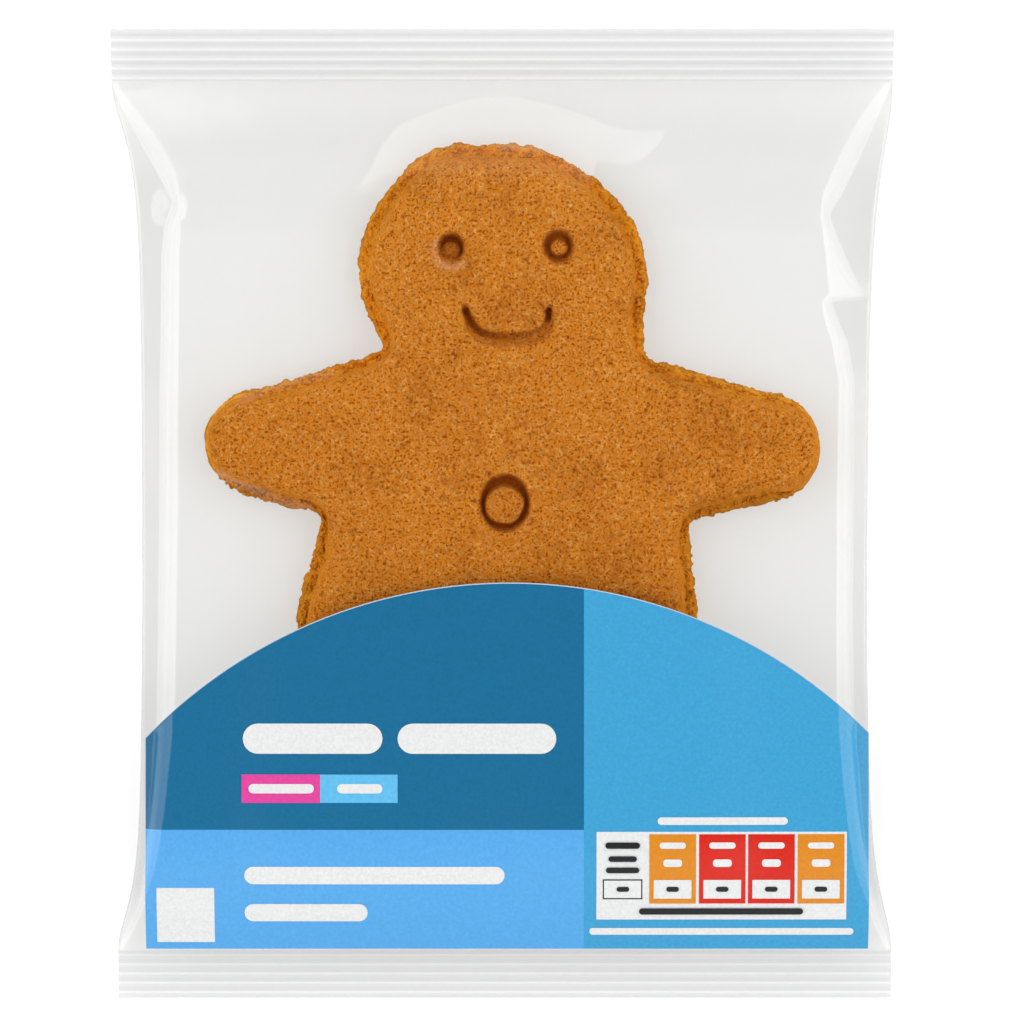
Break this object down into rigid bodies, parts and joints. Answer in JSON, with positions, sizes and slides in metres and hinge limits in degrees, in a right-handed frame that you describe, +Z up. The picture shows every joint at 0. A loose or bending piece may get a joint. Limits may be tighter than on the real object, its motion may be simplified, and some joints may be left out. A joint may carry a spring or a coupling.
{
  "type": "wrapped gingerbread figure biscuit",
  "caption": "Gingerbread figure biscuit with a moulded smile, eyes and button, in a clear pillow bag with ribbed end seals and a plain blue printed front panel.",
  "frame": {"origin": "middle of the pack's footprint, at the height of the table it lies on", "axes": "+X across the pack to its right, +Y along the pack from the figure's feet to its head, +Z up out of the printed front"},
  "size_m": [0.1252, 0.1546, 0.0116],
  "materials": {
    "clear_film": "thin clear glossy film, crimped into ribs at both ends",
    "baked_gingerbread": "matt golden brown baked crumb with a rough darker foot",
    "panel_print": "glossy printed film in plain fields of blue"
  },
  "bodies": {
    "root": {"bag": "clear_film", "biscuit": "baked_gingerbread", "printed_panel": "panel_print"}
  },
  "joints": []
}
